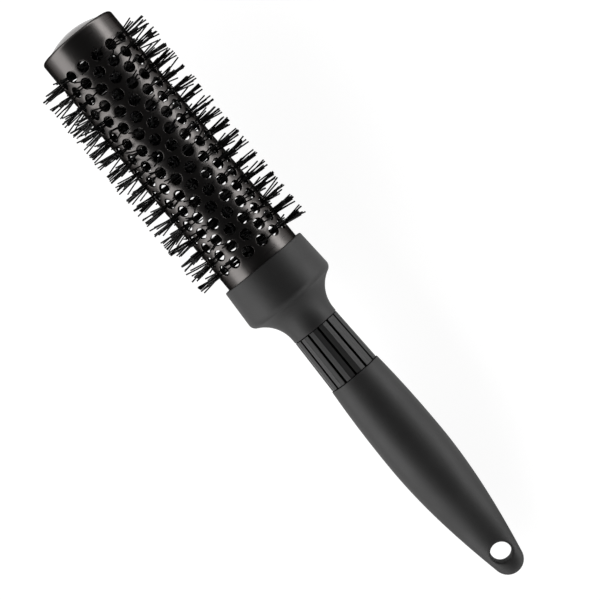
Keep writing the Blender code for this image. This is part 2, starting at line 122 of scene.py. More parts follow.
# Ribbed neck
NECK_FRONT = 9.75 * MM
NECK_BACK = 10.48 * MM
NECK_STEP = 0.02 * MM
GROOVE_COUNT = 13
GROOVE_WIDTH = 0.8 * MM
GROOVE_DEPTH = 0.9 * MM
GROOVE_PHASE = math.radians(7.5)
RIB_CREST = 0.25 * MM
RIB_BEAD = 0.06 * MM
RIB_BEAD_REACH = 0.4 * MM
RIB_PITCH = 2 * math.pi / GROOVE_COUNT
GROOVE_HALF_ANGLE = GROOVE_WIDTH / 2 / NECK_FRONT

# Rounded edges of a groove and places of the mesh across it, in halves of its width
GROOVE_REACH = 1.3
GROOVE_FLANK = 0.5
GROOVE_PLACES = (0.5, 0.8, 0.95, 1.1, 1.3, 1.7)

# Places of the mesh on a rib: its side as a share of the pitch, its bead as shares of the bead's reach
RIB_SIDE_PLACE = 0.3
BEAD_PLACES = (1, 0.67, 0.33)

# Grip
GRIP_FRONT = 10.75 * MM
GRIP_FRONT_SLOPE = 0.085
GRIP_FRONT_EDGE = 0.35 * MM
GRIP_BULGE = 12.22 * MM
GRIP_BULGE_AT = 36.1 * MM
GRIP_TAIL_SLOPE = -0.2
GRIP_NOSE_RADIUS = 6.04 * MM
GRIP_WALL = 2.5 * MM
HANG_HOLE_RADIUS = 4.05 * MM
HANG_HOLE_ROUNDING = 0.9 * MM
TIP_FLATNESS = 0.66
FLATTENING_LENGTH = 34.0 * MM
Z_PAD = 241.0 * MM
PAD_STEPS = 14
PAD_RAYS = 60
PAD_SEARCH_REACH = 4 * GRIP_BULGE
PAD_SEARCH_STEPS = 50

# Fineness of the turned shapes
TURN_STEPS = 96
ARC_STEPS = 14
SOFT_STEPS = 5
GRIP_STEPS = 48
TANG_STEPS = 12
SHARP_ANGLE = math.radians(38)
MERGE = 0.005 * MM

# Camera, from the photograph
IMAGE_WIDTH_AT_AXIS = 222.2 * MM
CAMERA_DISTANCE = 850.0 * MM
CAMERA_TURN = math.radians(5.0)
CAMERA_OVER_Z = 89.8 * MM
AIM_Z = 130.1 * MM
AIM_ASIDE = 1.9 * MM
AXIS_SLOPE = math.radians(50.37)
SENSOR_WIDTH = 36.0

# Studio
FLOOR_SIZE = 42.0
FLOOR_DROP = 0.1 * MM
FLOOR_GLOW = 0.88
FLOOR_PAINT = 0.27
PANEL_LENGTH = 31.5
LEFT_PANEL_HEIGHT = 5.53
RIGHT_PANEL_HEIGHT = 2.8
PANEL_AWAY = 6.3
LEFT_PANEL_RADIANCE = 3.9
RIGHT_PANEL_RADIANCE = 5.4

# Light of the room, which fades from the horizon up to a height given by its sine
HORIZON_GLOW = 0.3
OVERHEAD_GLOW = 0.045
OVERHEAD_FROM = 0.8

# Colours of the finishes, from their darker to their lighter patches
TUBE_COLOURS = ((0.07, 0.0662, 0.0645), (0.084, 0.0787, 0.0765))
# Hole edges of the tube: partly wear, partly a painted highlight on their rims
TUBE_WEAR_AND_HIGHLIGHT = (0.088, 0.084, 0.081)
CAP_COLOURS = ((0.066, 0.058, 0.054), (0.084, 0.074, 0.069))
STEEL_COLOURS = ((0.34, 0.34, 0.35), (0.5, 0.5, 0.5))
NYLON_COLOURS = ((0.002, 0.002, 0.002), (0.005, 0.0049, 0.0049))
RIB_COLOURS = ((0.005, 0.005, 0.005), (0.008, 0.008, 0.008))
# Crests of the ribs: partly wear, partly a painted highlight along them
RIB_WEAR_AND_HIGHLIGHT = (0.02, 0.02, 0.02)
RUBBER_COLOURS = ((0.009, 0.0088, 0.0088), (0.013, 0.0127, 0.0127))
RUBBER_SPECKLE = (0.022, 0.0216, 0.0216)

# Roughness of the finishes, from their smoother to their duller patches
TUBE_ROUGHNESS = (0.27, 0.33)
CAP_ROUGHNESS = (0.14, 0.24)
STEEL_ROUGHNESS = (0.25, 0.45)
NYLON_ROUGHNESS = (0.28, 0.42)
RIB_ROUGHNESS = (0.4, 0.5)
RUBBER_ROUGHNESS = (0.5, 0.6)

# Highlights of the finishes. Those of the handle fade where its pieces shelter each other.
# Black edge tint: the tube's reflections die away at grazing angles, a painted shade along its outline
TUBE_EDGE_SHADE_TINT = (0, 0, 0, 1)
CAP_SPECULAR = 0.6
NYLON_SPECULAR = 0.12
HANDLE_SPECULAR = (0.02, 0.34)
OPENNESS_REACH = 60.0 * MM

# Ranges of the texture values that the finishes use
NOISE_RANGE = (0.3, 0.7)
SPECKLE_RANGE = (0.62, 0.74)
OPENNESS_RANGE = (0.55, 0.9)
TUBE_EDGE_RANGE = (0.53, 0.62)
RIB_EDGE_RANGE = (0.53, 0.6)


def direction(angle):
    """Unit vector across the axis, at an angle from the brush's upper side."""
    return Vector((-math.cos(angle), math.sin(angle), 0))


def around(angle, radius, z):
    """Point at an angle and a distance from the axis."""
    return direction(angle) * radius + Vector((0, 0, z))


def laid_down():
    """Matrix from the brush's own frame to where the CAD brush lies, worked out from its hang hole."""
    mount = next(item for item in frame["record"]["mounts"] if item["name"] == "hang_hole")
    up = Vector(mount["axis"]).normalized()
    axis = Vector((up.z, 0, -up.x))
    apex = Vector(mount["pos_m"]) - axis * Z_HANG_HOLE
    turn = Matrix((-up, (0, 1, 0), axis)).transposed()
    return Matrix.Translation(apex) @ turn.to_4x4()


BRUSH = laid_down()


def spaced(start, end, count):
    """Evenly spaced numbers, with both ends."""
    return [start + (end - start) * i / (count - 1) for i in range(count)]


def smooth(share):
    """Smooth rise from none to one, level before and after."""
    share = min(max(share, 0), 1)
    return share * share * (3 - 2 * share)


def arc(centre_radius, centre_z, radius, start, end):
    """Points of an outline on a circle, by angle from the outward direction towards the tip."""
    return [
        (centre_radius + radius * math.cos(angle), centre_z + radius * math.sin(angle))
        for angle in spaced(start, end, ARC_STEPS)
    ]


def softened(outline):
    """Outline whose corners with a third number are rounded off over that length on both sides."""
    done = []
    for i, (radius, z, *soft) in enumerate(outline):
        corner = Vector((radius, z))
        if not soft:
            done.append((radius, z))
            continue
        before = Vector(outline[i - 1][:2])
        after = Vector(outline[(i + 1) % len(outline)][:2])
        start = corner + (before - corner).normalized() * soft[0]
        end = corner + (after - corner).normalized() * soft[0]
        for share in spaced(0, 1, SOFT_STEPS):
            point = start.lerp(corner, share).lerp(corner.lerp(end, share), share)
            done.append((point.x, point.y))
    return done


def mesh_from(bm, name):
    """Mesh with its seams merged, and smooth apart from its sharp edges."""
    bmesh.ops.remove_doubles(bm, verts=bm.verts[:], dist=MERGE)
    bmesh.ops.recalc_face_normals(bm, faces=bm.faces[:])
    mesh = bpy.data.meshes.new(name)
    bm.to_mesh(mesh)
    bm.free()
    mesh.shade_smooth()
    mesh.set_sharp_from_angle(angle=SHARP_ANGLE)
    return mesh


def skin(bm, rows, closed=True):
    """Faces between neighbouring rows of points. A row of one point is a pole."""
    rows = [[bm.verts.new(point) for point in row] for row in rows]
    for near, far in zip(rows, rows[1:]):
        count = max(len(near), len(far))
        for i in range(count if closed else count - 1):
            corners = []
            for row, place in ((near, i), (near, i + 1), (far, i + 1), (far, i)):
                corner = row[place % len(row)]
                if corner not in corners:
                    corners.append(corner)
            bm.faces.new(corners)


def turned(bm, outline, angles, relief=None):
    """Turns an outline of (radius, height) points about the axis. A relief cuts into the surface."""
    rows = []
    for radius, z in outline:
        if radius < MERGE:
            rows.append([(0, 0, z)])
        else:
            cuts = [relief(z, angle) if relief else 0 for angle in angles]
            rows.append([around(angle, radius - cut, z) for angle, cut in zip(angles, cuts)])
    skin(bm, rows)


def even_angles(count):
    """Angles of a full turn in equal steps."""
    return [2 * math.pi * i / count for i in range(count)]


def ring_height(ring):
    """Place of a ring of holes along the axis."""
    return Z_FIRST_RING + ring * RING_PITCH


def ring_phase(ring):
    """Rings of holes are staggered by half a hole, and the last ring has a hole on the upper side."""
    return (RING_COUNT - 1 - ring) * HOLE_ANGLE / 2


def cell_outline():
    """Six-sided cell of wall round one hole, as flat points (aside, along) from the hole's centre."""
    half = BARREL_RADIUS * HOLE_ANGLE / 2
    low = (RING_PITCH**2 - half**2) / (2 * RING_PITCH)
    high = RING_PITCH - low
    corners = [(half, -low), (half, low), (0, high), (-half, low), (-half, -low), (0, -high)]
    outline = []
    for start, end in zip(corners, corners[1:] + corners[:1]):
        for share in spaced(0, 1, CELL_STEPS + 1)[:-1]:
            outline.append(Vector(start).lerp(Vector(end), share))
    return outline


def wrapped(ring, hole, spot, radius):
    """Point of the tube over a flat point (aside, along) measured from a hole's centre."""
    angle = ring_phase(ring) + hole * HOLE_ANGLE + spot.x / BARREL_RADIUS
    return around(angle, radius, ring_height(ring) + spot.y)


def add_hole(bm, ring, hole, cell):
    """Wall of one cell: inner face, hole, rounded hole edge and outer face."""
    steps = [(HOLE_RADIUS, BARREL_BORE)]
    for angle in spaced(math.pi / 2, 0, SOFT_STEPS):
        rounding = HOLE_ROUNDING * (1 - math.sin(angle))
        depth = HOLE_ROUNDING * (1 - math.cos(angle))
        steps.append((HOLE_RADIUS + rounding, BARREL_RADIUS - depth))
    rows = [[wrapped(ring, hole, spot, BARREL_BORE) for spot in cell]]
    for away, radius in steps:
        rows.append([wrapped(ring, hole, spot.normalized() * away, radius) for spot in cell])
    rows.append([wrapped(ring, hole, spot, BARREL_RADIUS) for spot in cell])
    skin(bm, rows)


def close_tube(bm, ring, edge, outline):
    """Plain end of the tube, from the outside of the last cells along an outline to their inside."""
    for hole in range(HOLES_PER_RING):
        columns = []
        for spot in edge:
            angle = ring_phase(ring) + hole * HOLE_ANGLE + spot.x / BARREL_RADIUS
            column = [wrapped(ring, hole, spot, BARREL_RADIUS)]
            column += [around(angle, radius, z) for radius, z in outline]
            columns.append(column + [wrapped(ring, hole, spot, BARREL_BORE)])
        skin(bm, columns, closed=False)


def barrel_mesh():
    """Perforated tube with round holes, and with its lip rolled in at the cap end."""
    bm = bmesh.new()
    cell = cell_outline()
    for ring in range(RING_COUNT):
        for hole in range(HOLES_PER_RING):
            add_hole(bm, ring, hole, cell)
    upper_edge = cell[CELL_STEPS : 3 * CELL_STEPS + 1]
    lower_edge = [Vector((spot.x, -spot.y)) for spot in upper_edge]
    step = max(spot.y for spot in cell) + PLAIN_WALL_STEP
    handle_end = [
        (BARREL_RADIUS, Z_LAST_RING + step),
        (BARREL_RADIUS, Z_BARREL_END),
        (BARREL_BORE, Z_BARREL_END),
        (BARREL_BORE, Z_LAST_RING + step),
    ]
    lip_centre = BARREL_RADIUS - LIP_ROUNDING
    lip_z = Z_RIM + LIP_ROUNDING
    inner_rounding = LIP_ROUNDING - BARREL_WALL
    cap_end = [(BARREL_RADIUS, Z_FIRST_RING - step)]
    cap_end += arc(lip_centre, lip_z, LIP_ROUNDING, 0, -math.pi / 2)
    cap_end += [(LIP_RADIUS, Z_RIM), (LIP_RADIUS, Z_RIM + BARREL_WALL)]
    cap_end += arc(lip_centre, lip_z, inner_rounding, -math.pi / 2, 0)
    cap_end.append((BARREL_BORE, Z_FIRST_RING - step))
    close_tube(bm, RING_COUNT - 1, upper_edge, handle_end)
    close_tube(bm, 0, lower_edge, cap_end)
    return mesh_from(bm, "barrel")


def cap_mesh():
    """Domed plug with its flange behind the lip and the boss that holds the wires."""
    bm = bmesh.new()
    dome_base = LIP_RADIUS - FIT
    rise = Z_RIM - DOME_TOP
    sphere = (dome_base**2 + rise**2) / (2 * rise)
    half_angle = math.asin(dome_base / sphere)
    flange_front = Z_RIM + BARREL_WALL + FIT
    flange_back = flange_front + CAP_FLANGE
    flange = BARREL_BORE - FIT
    outline = arc(0, DOME_TOP + sphere, sphere, -math.pi / 2, half_angle - math.pi / 2)
    outline += [
        (dome_base, flange_front),
        (flange, flange_front),
        (flange, flange_back),
        (CAP_BOSS_RADIUS, flange_back),
        (CAP_BOSS_RADIUS, CAP_BOSS_END),
        (WIRE_BORE, CAP_BOSS_END),
        (WIRE_BORE, CAP_SOCKET_FLOOR),
        (0, CAP_SOCKET_FLOOR),
    ]
    turned(bm, outline, even_angles(TURN_STEPS))
    return mesh_from(bm, "cap")


def add_rod(bm, points, radius, sides):
    """Round rod along a row of points, closed at both ends."""
    rows = []
    across = None
    for i, point in enumerate(points):
        along = (points[min(i + 1, len(points) - 1)] - points[max(i - 1, 0)]).normalized()
        start = across if across else along.orthogonal()
        across = (start - start.dot(along) * along).normalized()
        other = along.cross(across)
        rows.append(
            [
                point + (across * math.cos(angle) + other * math.sin(angle)) * radius
                for angle in even_angles(sides)
            ]
        )
    skin(bm, [[points[0]]] + rows + [[points[-1]]])


def wire_mesh(name, start_angle):
    """One of the two wires that are twisted about the axis."""
    bm = bmesh.new()
    start, end = WIRE_ENDS
    points = []
    for z in spaced(start, end, round((end - start) / TWIST_STEP)):
        angle = start_angle + 2 * math.pi * (z - start) / TWIST_PITCH
        points.append(around(angle, TWIST_RADIUS, z))
    add_rod(bm, points, WIRE_RADIUS, WIRE_SIDES)
    return mesh_from(bm, name)


def above_floor(root, tip):
    """The tip, drawn back towards the root where it would go through the floor."""
    low = (BRUSH @ tip).z
    if low >= FLOOR_CLEARANCE:
        return tip
    high = (BRUSH @ root).z
    return root.lerp(tip, (high - FLOOR_CLEARANCE) / (high - low))


def jittered(rng, size):
    """Small random shift in any direction."""
    return Vector((rng.gauss(0, size), rng.gauss(0, size), rng.gauss(0, size)))


def threaded(rng, ring, hole):
    """Root of a bristle, and where it goes through its hole."""
    phase = ring_phase(ring) + hole * HOLE_ANGLE
    room = HOLE_RADIUS - 2 * FILAMENT_RADIUS - OPENING_SPREAD
    away = room * math.sqrt(rng.random())
    turn = rng.uniform(0, 2 * math.pi)
    through = Vector((away * math.cos(turn), away * math.sin(turn)))
    root = around(
        phase + rng.uniform(-ROOT_TURN, ROOT_TURN),
        HUB_RADIUS - FILAMENT_RADIUS,
        ring_height(ring) + rng.uniform(-ROOT_SPREAD, ROOT_SPREAD),
    )
    return root, wrapped(ring, hole, through, BARREL_RADIUS)


def filament(rng, root, opening):
    """Points of one bristle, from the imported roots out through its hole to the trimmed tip."""
    opening = opening + jittered(rng, OPENING_SPREAD / 2)
    radius = BRISTLE_RADIUS - BRISTLE_UNEVEN * rng.random() ** 2
    reach = (radius - HUB_RADIUS) / (BARREL_RADIUS - HUB_RADIUS)
    bend = jittered(rng, BRISTLE_BEND)
    tip = root + (opening - root) * reach + bend
    tip.xy *= radius / tip.xy.length
    tip = above_floor(opening, tip)
    middle = opening.lerp(tip, 0.5) - bend / 4
    return [root, opening, middle, tip]


def bristle_mesh(name, ring):
    """One ring of bristles on its slice of packed roots."""
    rng = random.Random(ring)
    bm = bmesh.new()
    low = ring_height(ring) - HUB_WIDTH / 2
    high = low + HUB_WIDTH
    outline = [(WIRE_BORE, low), (HUB_RADIUS, low), (HUB_RADIUS, high), (WIRE_BORE, high)]

    def ridges(z, angle):
        return HUB_RIDGE * (1 + math.sin(angle * HUB_RIDGES)) / 2

    turned(bm, outline + outline[:1], even_angles(HUB_SIDES), ridges)
    for hole in range(HOLES_PER_RING):
        for _ in range(rng.choice(FILAMENTS_PER_HOLE)):
            root, opening = threaded(rng, ring, hole)
            add_rod(bm, filament(rng, root, opening), FILAMENT_RADIUS, FILAMENT_SIDES)
    return mesh_from(bm, name)


def collar_mesh():
    """Soft bell: a swelling side, a round shoulder and a hollow sweep down to the neck."""
    bm = bmesh.new()
    sweep_centre = NECK_FRONT + COLLAR_SWEEP_RADIUS
    shoulder = COLLAR_BACK - COLLAR_SHOULDER_RADIUS
    reach = COLLAR_SWEEP_RADIUS + COLLAR_SHOULDER_RADIUS
    meeting = math.acos((sweep_centre - shoulder) / reach)
    shoulder_z = Z_SWEEP_END - reach * math.sin(meeting)
    socket = BARREL_RADIUS + FIT
    inner_sweep = COLLAR_SWEEP_RADIUS + COLLAR_WALL - FIT
    inner_meeting = math.acos((sweep_centre - socket) / inner_sweep)
    tail_end = Z_NECK - FIT
    outline = [
        (sweep_centre - inner_sweep, tail_end),
        (NECK_FRONT, tail_end, COLLAR_TAIL_EDGE),
    ]
    outline += arc(sweep_centre, Z_SWEEP_END, COLLAR_SWEEP_RADIUS, math.pi, math.pi + meeting)
    outline += arc(shoulder, shoulder_z, COLLAR_SHOULDER_RADIUS, meeting, 0)[1:]
    outline += [(COLLAR_FRONT, Z_COLLAR, COLLAR_EDGE), (socket, Z_COLLAR, COLLAR_EDGE)]
    outline += arc(sweep_centre, Z_SWEEP_END, inner_sweep, math.pi + inner_meeting, math.pi)
    turned(bm, softened(outline + outline[:1]), even_angles(TURN_STEPS))
    return mesh_from(bm, "collar")


def hermite(share, start, end, start_rise, end_rise):
    """Smooth curve from start to end, with the rises that its end slopes would give over its length."""
    square = share * share
    cube = square * share
    return (
        (2 * cube - 3 * square + 1) * start
        + (cube - 2 * square + share) * start_rise
        + (3 * square - 2 * cube) * end
        + (cube - square) * end_rise
    )


def grip_radius(z):
    """Half the width of the grip at a place along the axis."""
    nose_centre = Z_TIP - GRIP_NOSE_RADIUS
    slope_angle = math.atan(GRIP_TAIL_SLOPE)
    nose_start = nose_centre - GRIP_NOSE_RADIUS * math.sin(slope_angle)
    bulge_z = Z_GRIP + GRIP_BULGE_AT
    if z >= nose_start:
        return math.sqrt(max(GRIP_NOSE_RADIUS**2 - (z - nose_centre) ** 2, 0))
    if z < bulge_z:
        share = (z - Z_GRIP) / GRIP_BULGE_AT
        return hermite(share, GRIP_FRONT, GRIP_BULGE, GRIP_FRONT_SLOPE * GRIP_BULGE_AT, 0)
    tail = nose_start - bulge_z
    nose = GRIP_NOSE_RADIUS * math.cos(slope_angle)
    return hermite((z - bulge_z) / tail, GRIP_BULGE, nose, 0, GRIP_TAIL_SLOPE * tail)


def tip_flattening(z):
    """Thickness of the handle as a share of its width: the tip is flattened towards the hole."""
    return 1 - (1 - TIP_FLATNESS) * smooth(1 - (Z_HANG_HOLE - z) / FLATTENING_LENGTH)


def flatten_tip(bm):
    """Presses a turned shape flat towards the tip of the handle."""
    for corner in bm.verts:
        corner.co.x *= tip_flattening(corner.co.z)


def tang_radius(z):
    """Radius of the tang inside the grip, before it is flattened."""
    return grip_radius(z) - GRIP_WALL - FIT


def rib_angles():
    """Angles round the neck, close together at the grooves, their rounded edges and the beads."""
    side = [GROOVE_HALF_ANGLE * place for place in GROOVE_PLACES] + [RIB_SIDE_PLACE * RIB_PITCH]
    side += [RIB_PITCH / 2 - RIB_BEAD_REACH * place / NECK_FRONT for place in BEAD_PLACES]
    offsets = [0] + side + [RIB_PITCH / 2] + [RIB_PITCH - offset for offset in reversed(side)]
    return [GROOVE_PHASE + i * RIB_PITCH + offset for i in range(GROOVE_COUNT) for offset in offsets]


def rib_relief(z, angle):
    """Depth cut below the crests of the ribs: a thin bead, two flat sides and a narrow groove."""
    if not Z_NECK - MERGE <= z <= Z_GRIP:
        return 0
    away = abs((angle - GROOVE_PHASE + RIB_PITCH / 2) % RIB_PITCH - RIB_PITCH / 2)
    groove = GROOVE_DEPTH * smooth((GROOVE_REACH - away / GROOVE_HALF_ANGLE) / GROOVE_FLANK)
    beside = min((RIB_PITCH / 2 - away) * NECK_FRONT / RIB_BEAD_REACH, 1)
    bead = RIB_BEAD * (1 - math.cos(beside * math.pi)) / 2
    side = RIB_CREST * (1 - away / (RIB_PITCH / 2))
    return side + bead + groove


def core_mesh():
    """Hard core of the handle: tang, ribbed neck, swept body, flange and spigot."""
    bm = bmesh.new()
    sweep_centre = NECK_FRONT + COLLAR_SWEEP_RADIUS
    core_sweep = COLLAR_SWEEP_RADIUS + COLLAR_WALL
    flange_meeting = math.acos((sweep_centre - BARREL_RADIUS) / core_sweep)
    flange_z = Z_BARREL_END + FIT
    spigot = BARREL_BORE - FIT
    spigot_z = Z_LAST_RING + HUB_WIDTH / 2 + FIT
    wire_end = WIRE_ENDS[1] + FIT + WIRE_RADIUS / 2
    neck_end = Z_GRIP - FIT
    outline = [(0, Z_TANG_END)]
    outline += [(tang_radius(z), z) for z in spaced(Z_TANG_END, Z_GRIP, TANG_STEPS)]
    outline += [
        (tang_radius(Z_GRIP), neck_end),
        (NECK_BACK, neck_end),
        (NECK_FRONT, Z_NECK),
        (NECK_FRONT - COLLAR_WALL, Z_NECK - NECK_STEP),
    ]
    outline += arc(sweep_centre, Z_SWEEP_END, core_sweep, math.pi, math.pi + flange_meeting)
    outline += [
        (BARREL_RADIUS, flange_z),
        (spigot, flange_z),
        (spigot, spigot_z),
        (WIRE_BORE, spigot_z),
        (WIRE_BORE, wire_end),
        (0, wire_end),
    ]
    turned(bm, outline, rib_angles(), rib_relief)
    flatten_tip(bm)
    return mesh_from(bm, "ribbed_core")


def pad_edge(slope):
    """Distance from the hang hole's axis to the outline of the grip, along a ray at an angle."""
    near, far = HANG_HOLE_RADIUS, PAD_SEARCH_REACH
    for _ in range(PAD_SEARCH_STEPS):
        middle = (near + far) / 2
        inside = middle * abs(math.sin(slope)) < grip_radius(Z_HANG_HOLE + middle * math.cos(slope))
        near, far = (middle, far) if inside else (near, middle)
    return near


def pad_height(slope, away):
    """Half the thickness of the grip at a place round the hang hole."""
    z = Z_HANG_HOLE + away * math.cos(slope)
    aside = away * math.sin(slope)
    return tip_flattening(z) * math.sqrt(max(grip_radius(z) ** 2 - aside**2, 0))


def edge_is_cut(slope):
    """True for a ray that ends on the ring where the tip joins the turned grip."""
    return pad_edge(slope) * -math.cos(slope) > Z_HANG_HOLE - Z_PAD + MERGE


def pad_ray(slope, edge):
    """One side of the grip's tip along a ray: from its outline to the rim and wall of the hang hole."""
    rim = HANG_HOLE_RADIUS + HANG_HOLE_ROUNDING
    is_cut = edge_is_cut(slope)
    profile = []
    for share in spaced(1, 0, PAD_STEPS):
        away = rim + (edge - rim) * math.sin(share * math.pi / 2)
        height = pad_height(slope, away) if is_cut or away < edge else 0
        profile.append((away, height))
    start = Vector(profile[-1])
    corner = Vector((HANG_HOLE_RADIUS, pad_height(slope, HANG_HOLE_RADIUS)))
    end = corner - Vector((0, HANG_HOLE_ROUNDING))
    for share in spaced(0, 1, SOFT_STEPS + 2)[1:]:
        profile.append(tuple(start.lerp(corner, share).lerp(corner.lerp(end, share), share)))
    return profile


def pad_rays():
    """Angles and lengths of the rays that mesh the flattened tip round its hole."""
    drop = Z_HANG_HOLE - Z_PAD
    width = grip_radius(Z_PAD)
    rays = []
    for angle in spaced(-math.pi / 2, math.pi / 2, TURN_STEPS // 2 + 1):
        aside = width * math.sin(angle)
        rays.append((math.atan2(aside, -drop), math.hypot(aside, drop)))
    last = rays[-1][0]
    rays += [(slope, pad_edge(slope)) for slope in spaced(last, -last, PAD_RAYS)[1:-1]]
    return rays


def add_pad(bm):
    """Flattened tip of the grip with the hang hole through it."""
    rows = []
    for slope, edge in pad_rays():
        row = []
        for away, height in pad_ray(slope, edge):
            row.append((-height, away * math.sin(slope), Z_HANG_HOLE + away * math.cos(slope)))
        row += [(-x, y, z) for x, y, z in reversed(row)]
        rows.append(row)
    skin(bm, rows + rows[:1], closed=False)


def grip_mesh():
    """Soft sleeve of the grip, with a bore for the tang and a flattened tip."""
    bm = bmesh.new()
    outline = [(grip_radius(z), z) for z in spaced(Z_PAD, Z_GRIP, GRIP_STEPS)[:-1]]
    bore = [(tang_radius(z) + FIT, z) for z in spaced(Z_GRIP, Z_TANG_END, TANG_STEPS)]
    outline += softened([outline[-1], (GRIP_FRONT, Z_GRIP, GRIP_FRONT_EDGE), bore[0]])[1:]
    bore_end = Z_TANG_END + FIT
    outline += bore[1:] + [(bore[-1][0], bore_end), (0, bore_end)]
    turned(bm, outline, even_angles(TURN_STEPS))
    flatten_tip(bm)
    add_pad(bm)
    return mesh_from(bm, "grip")


class Finish:
    """A Principled material with its colour, roughness and bump from textures in the brush's own frame."""

    def __init__(self, name, **constants):
        self.material = bpy.data.materials.new(name)
        self.material.use_nodes = True
        self.nodes = self.material.node_tree.nodes
        self.links = self.material.node_tree.links
        self.shader = self.nodes["Principled BSDF"]
        for socket, value in constants.items():
            self.shader.inputs[socket.replace("_", " ")].default_value = value
        upright = self.nodes.new("ShaderNodeMapping")
        upright.vector_type = "TEXTURE"
        upright.inputs["Location"].default_value = BRUSH.translation
        upright.inputs["Rotation"].default_value = BRUSH.to_euler()
        place = self.nodes.new("ShaderNodeTexCoord").outputs["Object"]
        self.links.new(place, upright.inputs["Vector"])
        self.place = upright.outputs["Vector"]

    def stretched(self, scale):
        """Places of the brush's own frame, scaled along each axis."""
        mapping = self.nodes.new("ShaderNodeMapping")
        mapping.inputs["Scale"].default_value = scale
        self.links.new(self.place, mapping.inputs["Vector"])
        return mapping.outputs["Vector"]

    def noise(self, scale, detail=3.0, stretch=(1, 1, 1)):
        """Noise with features of about 1 / scale metres."""
        texture = self.nodes.new("ShaderNodeTexNoise")
        texture.inputs["Scale"].default_value = scale
        texture.inputs["Detail"].default_value = detail
        self.links.new(self.stretched(stretch), texture.inputs["Vector"])
        return texture.outputs["Fac"]

    def edges(self, across):
        """One on outside edges, none on flat and hollow surfaces."""
        shape = self.nodes.new("ShaderNodeNewGeometry")
        return self.spread(shape.outputs["Pointiness"], (0, 1), across)

    def openness(self, reach):
        """One on open surfaces, less in holes and corners narrower than the reach."""
        shelter = self.nodes.new("ShaderNodeAmbientOcclusion")
        shelter.inputs["Distance"].default_value = reach
        return shelter.outputs["AO"]

    def spread(self, value, to, across=NOISE_RANGE):
        """The part of a value across one range, laid out over another."""
        ramp = self.nodes.new("ShaderNodeMapRange")
        ramp.inputs["From Min"].default_value = across[0]
        ramp.inputs["From Max"].default_value = across[1]
        ramp.inputs["To Min"].default_value = to[0]
        ramp.inputs["To Max"].default_value = to[1]
        self.links.new(value, ramp.inputs["Value"])
        return ramp.outputs["Result"]

    def blend(self, share, first, second):
        """Colour between two others, each a colour or another node's output."""
        mix = self.nodes.new("ShaderNodeMix")
        mix.data_type = "RGBA"
        colours = [socket for socket in mix.inputs if socket.type == "RGBA"]
        for socket, colour in zip(colours, (first, second)):
            if isinstance(colour, tuple):
                socket.default_value = (*colour, 1)
            else:
                self.links.new(colour, socket)
        self.links.new(share, mix.inputs["Factor"])
        return next(socket for socket in mix.outputs if socket.type == "RGBA")

    def set(self, socket, value):
        """Drives one of the shader's inputs."""
        self.links.new(value, self.shader.inputs[socket])

    def bump(self, height, depth, strength):
        """Raises the surface by a texture."""
        bump = self.nodes.new("ShaderNodeBump")
        bump.inputs["Distance"].default_value = depth
        bump.inputs["Strength"].default_value = strength
        self.links.new(height, bump.inputs["Height"])
        self.set("Normal", bump.outputs["Normal"])

    def shelter_highlights(self):
        """Fades the highlights where neighbouring pieces shelter the surface."""
        open_share = self.openness(OPENNESS_REACH)
        self.set("Specular IOR Level", self.spread(open_share, HANDLE_SPECULAR, OPENNESS_RANGE))


def tube_finish():
    """Dark coated metal, polished round the tube, its hole edges partly worn and partly lightened as a
    painted highlight.
    """
    # The black edge tint paints shade along the tube's outline
    finish = Finish("coated_tube", Metallic=1.0, Specular_Tint=TUBE_EDGE_SHADE_TINT)
    lines = finish.noise(scale=60, detail=4, stretch=(1, 1, 40))
    colour = finish.blend(finish.noise(scale=90), *TUBE_COLOURS)
    # Hole edges lightened: partly wear, partly a painted highlight
    finish.set("Base Color", finish.blend(finish.edges(TUBE_EDGE_RANGE), colour, TUBE_WEAR_AND_HIGHLIGHT))
    finish.set("Roughness", finish.spread(lines, TUBE_ROUGHNESS))
    finish.bump(lines, depth=0.02 * MM, strength=0.05)
    return finish.material


def cap_finish():
    """Glossy moulded plastic with faint flow marks."""
    finish = Finish("gloss_cap", Specular_IOR_Level=CAP_SPECULAR)
    flow = finish.noise(scale=220, detail=4)
    finish.set("Base Color", finish.blend(flow, *CAP_COLOURS))
    finish.set("Roughness", finish.spread(finish.noise(scale=900, detail=2), CAP_ROUGHNESS))
    finish.bump(flow, depth=0.05 * MM, strength=0.2)
    return finish.material


def wire_finish():
    """Drawn steel wire, with lengthwise lines and dull spots."""
    finish = Finish("steel_wire", Metallic=1.0)
    lines = finish.noise(scale=2500, detail=2, stretch=(1, 1, 0.1))
    finish.set("Base Color", finish.blend(lines, *STEEL_COLOURS))
    finish.set("Roughness", finish.spread(finish.noise(scale=400), STEEL_ROUGHNESS))
    finish.bump(lines, depth=0.02 * MM, strength=0.3)
    return finish.material


def nylon_finish():
    """Black nylon filament, a little paler and glossier in places."""
    finish = Finish("black_nylon", Specular_IOR_Level=NYLON_SPECULAR)
    finish.set("Base Color", finish.blend(finish.noise(scale=700, detail=2), *NYLON_COLOURS))
    finish.set("Roughness", finish.spread(finish.noise(scale=1500, detail=2), NYLON_ROUGHNESS))
    finish.bump(finish.noise(scale=6000, detail=2), depth=0.02 * MM, strength=0.3)
    return finish.material


def rib_finish():
    """Hard satin plastic, lighter on the crests of the ribs: partly wear, partly a painted highlight."""
    finish = Finish("satin_plastic")
    grain = finish.noise(scale=2600)
    colour = finish.blend(finish.noise(scale=120), *RIB_COLOURS)
    # Rib crests lightened: partly wear, partly a painted highlight
    finish.set("Base Color", finish.blend(finish.edges(RIB_EDGE_RANGE), colour, RIB_WEAR_AND_HIGHLIGHT))
    finish.set("Roughness", finish.spread(grain, RIB_ROUGHNESS))
    finish.shelter_highlights()
    finish.bump(grain, depth=0.03 * MM, strength=0.25)
    return finish.material


